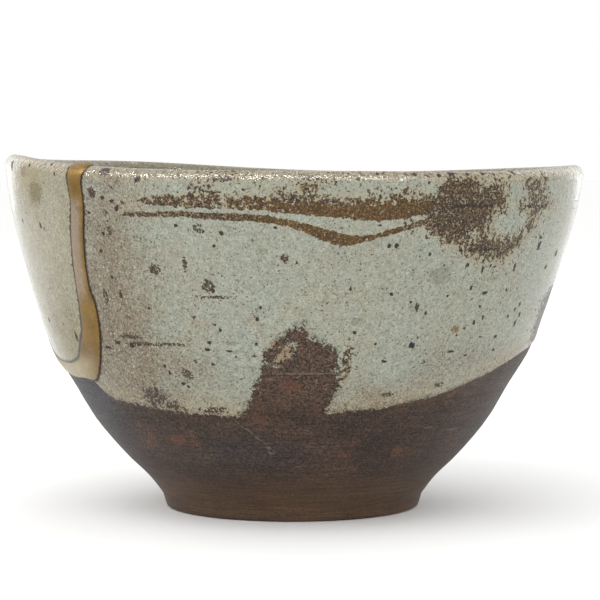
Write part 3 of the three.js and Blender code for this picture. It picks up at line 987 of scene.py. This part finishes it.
class Stoneware(Finish):
    """A finish for the fired clay and its glaze, with the noises that more than one part of it shares."""

    def __init__(self, name):
        super().__init__(name)
        self.height = self.apart(self.place)[2]
        self.fine = self.noise(self.place, 2.1, 2.0, 0.75)
        self.crumbs = self.spread(self.place, 0.95, 3.0, 0.64, gain=3.0)
        self.small = self.spread(self.place, 2.0, 2.0, 0.7, gain=3.4)
        self.cloud = self.spread(self.place, 0.22, 2.0, 0.55, gain=2.6)
        self.lip = self.ramp(self.add(self.field("below_lip"), self.centred(self.cloud, 1.4)), 3.0, 1.2)

    def patches(self, name, full, crumble):
        """Each kind of mark on a surface, as (its patch, its colour). It is solid out to `full`."""
        for marks, colour, strength, body in MARKS[name]:
            reach = self.add(self.nearest_mark(marks), self.centred(self.crumbs, 0.6))
            ring = self.times(self.ramp(reach, 1.3, full), body)
            yield self.times(self.broken(ring, self.small, crumble), strength), colour


def iron_cover(f, crumbs):
    """How much of the brushed iron is at a point, 0 to 1, broken up by the crumbs where it lies thin."""
    rise, solid, fringe = f.apart(f.field("upper_stroke", "Vector"))
    body = f.field("upper_body")
    wobble = f.centred(f.noise(f.place, 0.8, 2.0), 1.6)
    rise = f.add(rise, wobble)
    start = f.ramp(rise, -0.2, 0.3)
    laid = f.times(f.ramp(rise, f.add(solid, 0.5), f.less(solid, 0.4)), body)
    thin = f.times(f.ramp(rise, fringe, solid, 0.1, 0.74, smooth=False), f.ramp(fringe, 0.5, 2.0))
    upper = f.times(f.math("MAXIMUM", laid, thin), start)
    offset, half, strength = f.apart(f.field("lower_stroke", "Vector"))
    aside = f.math("ABSOLUTE", f.add(offset, f.times(wobble, 0.45)))
    lower = f.times(f.ramp(aside, f.add(half, 0.35), f.less(half, 0.15)), strength)
    cover = f.math("MAXIMUM", f.math("MAXIMUM", upper, lower), f.field("iron"))
    return f.ramp(f.less(cover, crumbs), -0.07, 0.09), cover


def milky_glaze(f, cool, warm, blush_tint, speckle_share):
    """The glaze's colour: cool and milky, warmer where it runs thin, darkened inside the bowl as painted
    shade, with a fine grain.
    """
    place, cloud = f.place, f.cloud
    broad = f.spread(place, 0.055, 2.0, 0.5, gain=2.6)
    near_line = f.times(f.ramp(f.field("above_line"), 8.0, 0.0), f.linear(broad, 0.6, 0.35))
    warmth = f.add(f.times(broad, 0.3), f.times(cloud, 0.22), near_line)
    glaze = f.blend(f.math("MINIMUM", warmth, 1.0), cool, warm)
    blush = f.times(f.field("blush"), f.linear(cloud, 0.5, 0.6))
    glaze = f.blend(f.math("MINIMUM", blush, 0.9), glaze, blush_tint)
    glaze = f.blend(f.times(f.lip, 0.7), glaze, tint(164, 152, 128))
    # Painted shade: inside the bowl the glaze is darkened towards a grey olive, standing in for the shade
    # in its hollow.
    glaze = f.blend(f.times(f.field("inside"), 0.6), glaze, tint(124, 118, 100))
    speckled = f.times(f.math("MAXIMUM", blush, f.times(f.lip, 0.8)), speckle_share)
    freckle = f.ramp(f.noise(place, 1.6, 2.0, 0.6), 0.56, 0.68)
    glaze = f.blend(f.times(freckle, f.linear(speckled, 0.6, 0.3)), glaze, tint(84, 70, 58))
    pale_grain = f.ramp(f.noise(f.moved(place, (31, 17, 5)), 1.7, 2.0, 0.6), 0.55, 0.7)
    glaze = f.blend(f.times(pale_grain, f.linear(speckled, 0.35, 0.25)), glaze, tint(176, 172, 156))
    grain = f.varied(f.fine, f.linear(speckled, 1.4, 1.3))
    return f.shade(glaze, f.times(grain, f.around(place, 0.75, 0.5)))


def brushed_iron(f, glaze):
    """The glaze with the brush's iron under and in it; returns its colour and how much of it is iron."""
    pooled = f.ramp(f.field("iron"), 0.15, 0.4)
    brown, cover = iron_cover(f, f.mix(f.times(pooled, 0.4), f.crumbs, f.small))
    halo = f.times(f.ramp(cover, 0.0, 0.7), f.linear(f.cloud, 0.5, 0.3))
    glaze = f.blend(halo, glaze, tint(156, 142, 112))
    golden = f.times(f.ramp(f.field("upper_body"), 0.6, 0.95), f.less(1.0, pooled))
    speck = f.spread(f.moved(f.place, (7, 3, 11)), 2.3, 2.0, 0.65, gain=3.4)
    pool_tone = f.blend(f.ramp(speck, 0.15, 0.9), tint(22, 14, 8), tint(98, 78, 56))
    stroke_tone = f.blend(f.ramp(speck, 0.0, 1.0), tint(48, 31, 9), tint(97, 68, 22))
    tone = f.blend(golden, pool_tone, stroke_tone)
    pale_speck = f.times(f.ramp(speck, 0.78, 1.0), f.mix(golden, 0.8, 0.4))
    tone = f.blend(pale_speck, tone, tint(156, 140, 114))
    return f.blend(f.times(brown, 0.96), glaze, tone), brown


def bare_clay(f):
    """Burnt brown clay with the lines that the trimming tool left: its colour, roughness and relief."""
    place, z = f.place, f.height
    lines = f.noise(f.stretched(place, (0.12, 0.12, 2.6)), 1.0, 3.0, 0.6)
    soft_lines = f.noise(f.stretched(place, (0.05, 0.05, 0.5)), 1.0, 2.0, 0.5)
    patches = f.spread(place, 0.075, 2.5, 0.55, gain=2.8)
    clay = f.blend(patches, tint(48, 37, 30), tint(70, 53, 42))
    # Painted sheen: grey-blue at the sides of the bare clay, with a cooler clay tone at the front.
    clay = f.blend(f.times(f.field("clay_sheen_and_cool_tone"), 0.9), clay, tint(55, 57, 63))
    clay = f.blend(f.times(f.ramp(z, 12.0, 5.0), 0.85), clay, tint(81, 62, 46))
    rusty = f.ramp(f.noise(place, 0.13, 2.0, 0.55), 0.58, 0.72)
    clay = f.blend(f.times(rusty, 0.5), clay, tint(86, 60, 45))
    # Coarser up the wall than on the foot, which was rubbed smooth.
    grain = f.varied(f.noise(place, 2.2, 2.0, 0.75), f.ramp(z, 7.0, 14.0, 1.2, 4.4))
    clay = f.shade(clay, f.times(grain, f.varied(lines, 1.5)))
    clay = f.shade(clay, f.varied(soft_lines, 0.7))
    clay = f.shade(clay, f.around(f.moved(place, (9, 4, 2)), 1.1, f.ramp(z, 7.0, 14.0, 0.4, 1.4)))
    grit = f.times(f.dots(place, 1.9, 0.24, 0.8), f.ramp(z, 6.0, 14.0))
    clay = f.blend(f.times(grit, 0.55), clay, tint(124, 107, 92))
    scratched = f.scratch((-16.3, 26.2), (-6.6, 18.8), 0.22)
    clay = f.blend(f.times(scratched, 0.5), clay, tint(124, 106, 90))
    # Inside the tongue the glaze is only a burnt skin over the clay.
    above_foot = f.ramp(f.add(z, f.times(f.crumbs, 3.0)), 27.0, 33.0)
    skin = f.times(f.ramp(f.field("tongue"), -0.5, 0.6), above_foot)
    skin_tone = f.blend(f.spread(place, 1.5, 3.0, 0.8, gain=6.0), tint(17, 11, 7), tint(88, 66, 53))
    skin_tone = f.blend(f.times(f.ramp(f.small, 0.66, 0.9), 0.6), skin_tone, tint(126, 108, 90))
    clay = f.blend(f.times(skin, 0.9), clay, skin_tone)
    for patch, colour in f.patches("bare clay", 0.4, 0.6):
        clay = f.blend(patch, clay, colour)
    relief = f.add(f.centred(lines, 0.16), f.centred(f.fine, 0.09))
    return clay, f.linear(f.fine, 0.2, 0.42), relief


def stoneware(name, cool, warm, blush_tint, iron=True, speckle_share=1.0):
    """Thrown stoneware under a milky feldspar glaze, bare and trimmed below the glaze line."""
    f = Stoneware(name)
    place = f.place
    glaze = milky_glaze(f, cool, warm, blush_tint, speckle_share)
    rough = f.linear(f.cloud, 0.12, 0.09)
    relief = f.add(f.centred(f.noise(place, 0.42, 2.0), 0.07), f.times(f.noise(place, 1.2, 1.0), 0.03))
    if iron:
        glaze, brown = brushed_iron(f, glaze)
        rough = f.add(rough, f.times(brown, 0.14))
        relief = f.add(relief, f.times(brown, 0.02))

    # The marks are drier than the glaze, and there are none inside the bowl.
    outside = f.less(1.0, f.field("inside"))
    for patch, colour in f.patches(name, 0.55, 0.12):
        patch = f.times(patch, outside)
        glaze = f.blend(patch, glaze, f.shade(colour, f.around(place, 2.2, 2.0)))
        rough = f.mix(patch, rough, 0.5)

    pits = f.dots(place, 2.9, 0.45, f.field("pitted"))
    pinholes = f.dots(place, 1.6, 0.27, 0.9)
    glaze = f.blend(f.times(pits, 0.92), glaze, tint(38, 30, 24))
    glaze = f.blend(f.times(pinholes, 0.75), glaze, tint(62, 52, 42))
    seam_line = f.ramp(f.add(f.field("joint"), f.centred(f.crumbs, 0.6)), 0.5, 0.15)
    glaze = f.blend(f.times(seam_line, 0.85), glaze, tint(44, 32, 22))
    relief = f.less(relief, f.add(f.times(pits, 0.12), f.times(pinholes, 0.05)))

    # Where the glaze ends it crumbles, with a burnt fringe along its edge.
    clay, clay_rough, clay_relief = bare_clay(f)
    crumbled = f.times(f.centred(f.crumbs, f.field("crumbly")), 1.5)
    edge = f.add(f.field("glazed"), crumbled, f.centred(f.fine, 1.4))
    cover = f.ramp(edge, -0.1, 0.12)
    fringe = f.times(f.ramp(edge, 1.7, 0.1), f.ramp(f.small, 0.4, 0.6))
    glaze = f.blend(f.times(fringe, 0.85), glaze, tint(52, 38, 27))
    colour = f.blend(cover, clay, glaze)
    rough = f.mix(cover, clay_rough, rough)
    relief = f.mix(cover, clay_relief, f.add(relief, 0.1))
    waxy = f.times(f.lip, f.centred(f.noise(f.moved(place, (3, 8, 1)), 0.7, 2.0, 0.6), 0.5))
    return f.close(colour, rough, f.add(relief, waxy), Specular_IOR_Level=0.22)


def gold_lacquer():
    """Gold powder laid in lacquer: ochre, with a painted grey reflection down one half of the band and a
    painted pale highlight on its low tail, and a dark lacquer line at both edges.
    """
    f = Finish("gold lacquer")
    place = f.place
    x, _, z = f.apart(place)
    side = f.field("aside")
    cloud = f.spread(place, 0.16, 2.0, 0.5, gain=2.6)
    gold = f.blend(cloud, tint(100, 75, 24), tint(124, 97, 46))
    # Painted reflection: a grey-mauve tint down one half of the band's middle stands in for the grey
    # surroundings that the glossy gold reflects.
    grey_reflection = f.times(f.ramp(side, -0.9, -0.1), f.ramp(z, 49.0, 55.0), f.ramp(z, 74.5, 70.5))
    gold = f.blend(f.times(grey_reflection, 0.8), gold, tint(140, 125, 108))
    # Painted highlight: the low part of the band towards the left is paled, standing in for the bright
    # light that it reflects there.
    pale_highlight_tail = f.times(f.ramp(x, -41.5, -48.5), f.ramp(f.less(z, f.times(x, 0.25)), 51.5, 46.5))
    gold = f.blend(f.times(pale_highlight_tail, 0.8), gold, tint(170, 160, 134))
    gold = f.shade(gold, f.times(f.around(place, 2.4, 0.8), f.around(place, 0.9, 0.4)))
    streaks = f.noise(f.stretched(place, (0.3, 0.3, 1.0)), 0.5, 2.0)
    stain = f.times(f.ramp(streaks, 0.55, 0.68), f.ramp(z, 66.0, 74.0))
    gold = f.blend(f.times(stain, 0.5), gold, tint(66, 48, 20))
    aside = f.math("ABSOLUTE", side)
    line = f.ramp(f.add(aside, f.centred(f.noise(place, 1.6), 0.14)), 0.8, 0.92)
    colour = f.blend(f.times(line, 0.95), gold, tint(34, 22, 10))
    rough = f.add(f.linear(cloud, 0.12, 0.36), f.times(f.ramp(z, 72.0, 78.0), 0.16))
    relief = f.centred(f.noise(place, 0.9, 2.0), 0.08)
    return f.close(colour, rough, relief, Metallic=0.45, Specular_IOR_Level=0.3)


def paper():
    f = Finish("paper")
    return f.close(f.shade(tint(253, 253, 252), f.around(f.place, 0.02, 0.01)), 0.8, 0.0)


# ---- Making the pieces ----

hand = hand_of_potter()
glazed_stoneware = stoneware(
    "glazed stoneware", tint(147, 154, 142), tint(150, 140, 119), tint(121, 109, 92),
)
sherd_glaze = stoneware(
    "sherd glaze", tint(155, 153, 136), tint(146, 138, 110), tint(128, 119, 90),
    iron=False, speckle_share=0.35,
)
whole = thrown_bowl(hand, glazed_stoneware)
bowl_rail, sherd_rail = joint_rails(joint_course())
body = cut_piece("bowl_of_stoneware", whole, bowl_rail, "DIFFERENCE")
sherd = cut_piece("mended_sherd", whole, sherd_rail, "INTERSECT")
seam = gold_seam(hand, gold_lacquer())
bpy.data.objects.remove(whole)
sherd.data.materials.clear()
sherd.data.materials.append(sherd_glaze)
for piece in (body, sherd):
    paint_fields(piece)

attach(body, "root")
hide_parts("bowl_body")
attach(sherd, "root")
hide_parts("rim_sherd")
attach(seam, "root")
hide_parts("gold_seam")

# ---- Stage ----


LIT_POINT = Vector((0.0, 0.0, 0.05))


def softbox(name, bearing, elevation, distance, wide, tall, radiance, glint=False):
    """An area light looking at the bowl from a bearing and a height; a glint only shows in the gloss."""
    light = bpy.data.lights.new(name, "AREA")
    light.shape, light.size, light.size_y = "RECTANGLE", wide, tall
    light.energy = radiance * math.pi * wide * tall
    lamp = bpy.data.objects.new(name, light)
    b, e = math.radians(bearing), math.radians(elevation)
    away = Vector((math.sin(b) * math.cos(e), -math.cos(b) * math.cos(e), math.sin(e)))
    lamp.location = LIT_POINT + away * distance
    lamp.rotation_euler = away.to_track_quat("Z", "Y").to_euler()
    lamp.visible_diffuse = not glint
    bpy.context.scene.collection.objects.link(lamp)


softbox("soft light", -30, 50, 1.2, 1.3, 1.1, 0.95)
softbox("long strip above the front", -18, 48, 0.8, 2.6, 0.09, 75.0, glint=True)
softbox("left strip", -146, 10, 1.2, 0.6, 0.9, 1.5)
softbox("right strip", 146, 10, 1.2, 0.6, 0.9, 1.5)

FLOOR_REACH = 12.0
floor_mesh = bpy.data.meshes.new("floor")
corners = [(x * FLOOR_REACH, y * FLOOR_REACH, 0.0) for x, y in ((-1, -1), (1, -1), (1, 1), (-1, 1))]
floor_mesh.from_pydata(corners, [], [(0, 1, 2, 3)])
floor_mesh.materials.append(paper())
floor = bpy.data.objects.new("floor", floor_mesh)
bpy.context.scene.collection.objects.link(floor)

world = bpy.data.worlds.new("studio")
world.use_nodes = True
world.node_tree.nodes["Background"].inputs["Color"].default_value = (1, 1, 1, 1)
world.node_tree.nodes["Background"].inputs["Strength"].default_value = 1.0
bpy.context.scene.world = world
bpy.context.scene.view_settings.view_transform = "Standard"

LENS = 142.0
EYE = (1.8, -560.0, 80.45)
LOOKING_DOWN = 3.265  # degrees below level

camera_data = bpy.data.cameras.new("camera")
camera_data.lens = LENS
camera = bpy.data.objects.new("camera", camera_data)
camera.location = tuple(c * MM for c in EYE)
camera.rotation_euler = (math.radians(90 - LOOKING_DOWN), 0, 0)
bpy.context.scene.collection.objects.link(camera)
bpy.context.scene.camera = camera
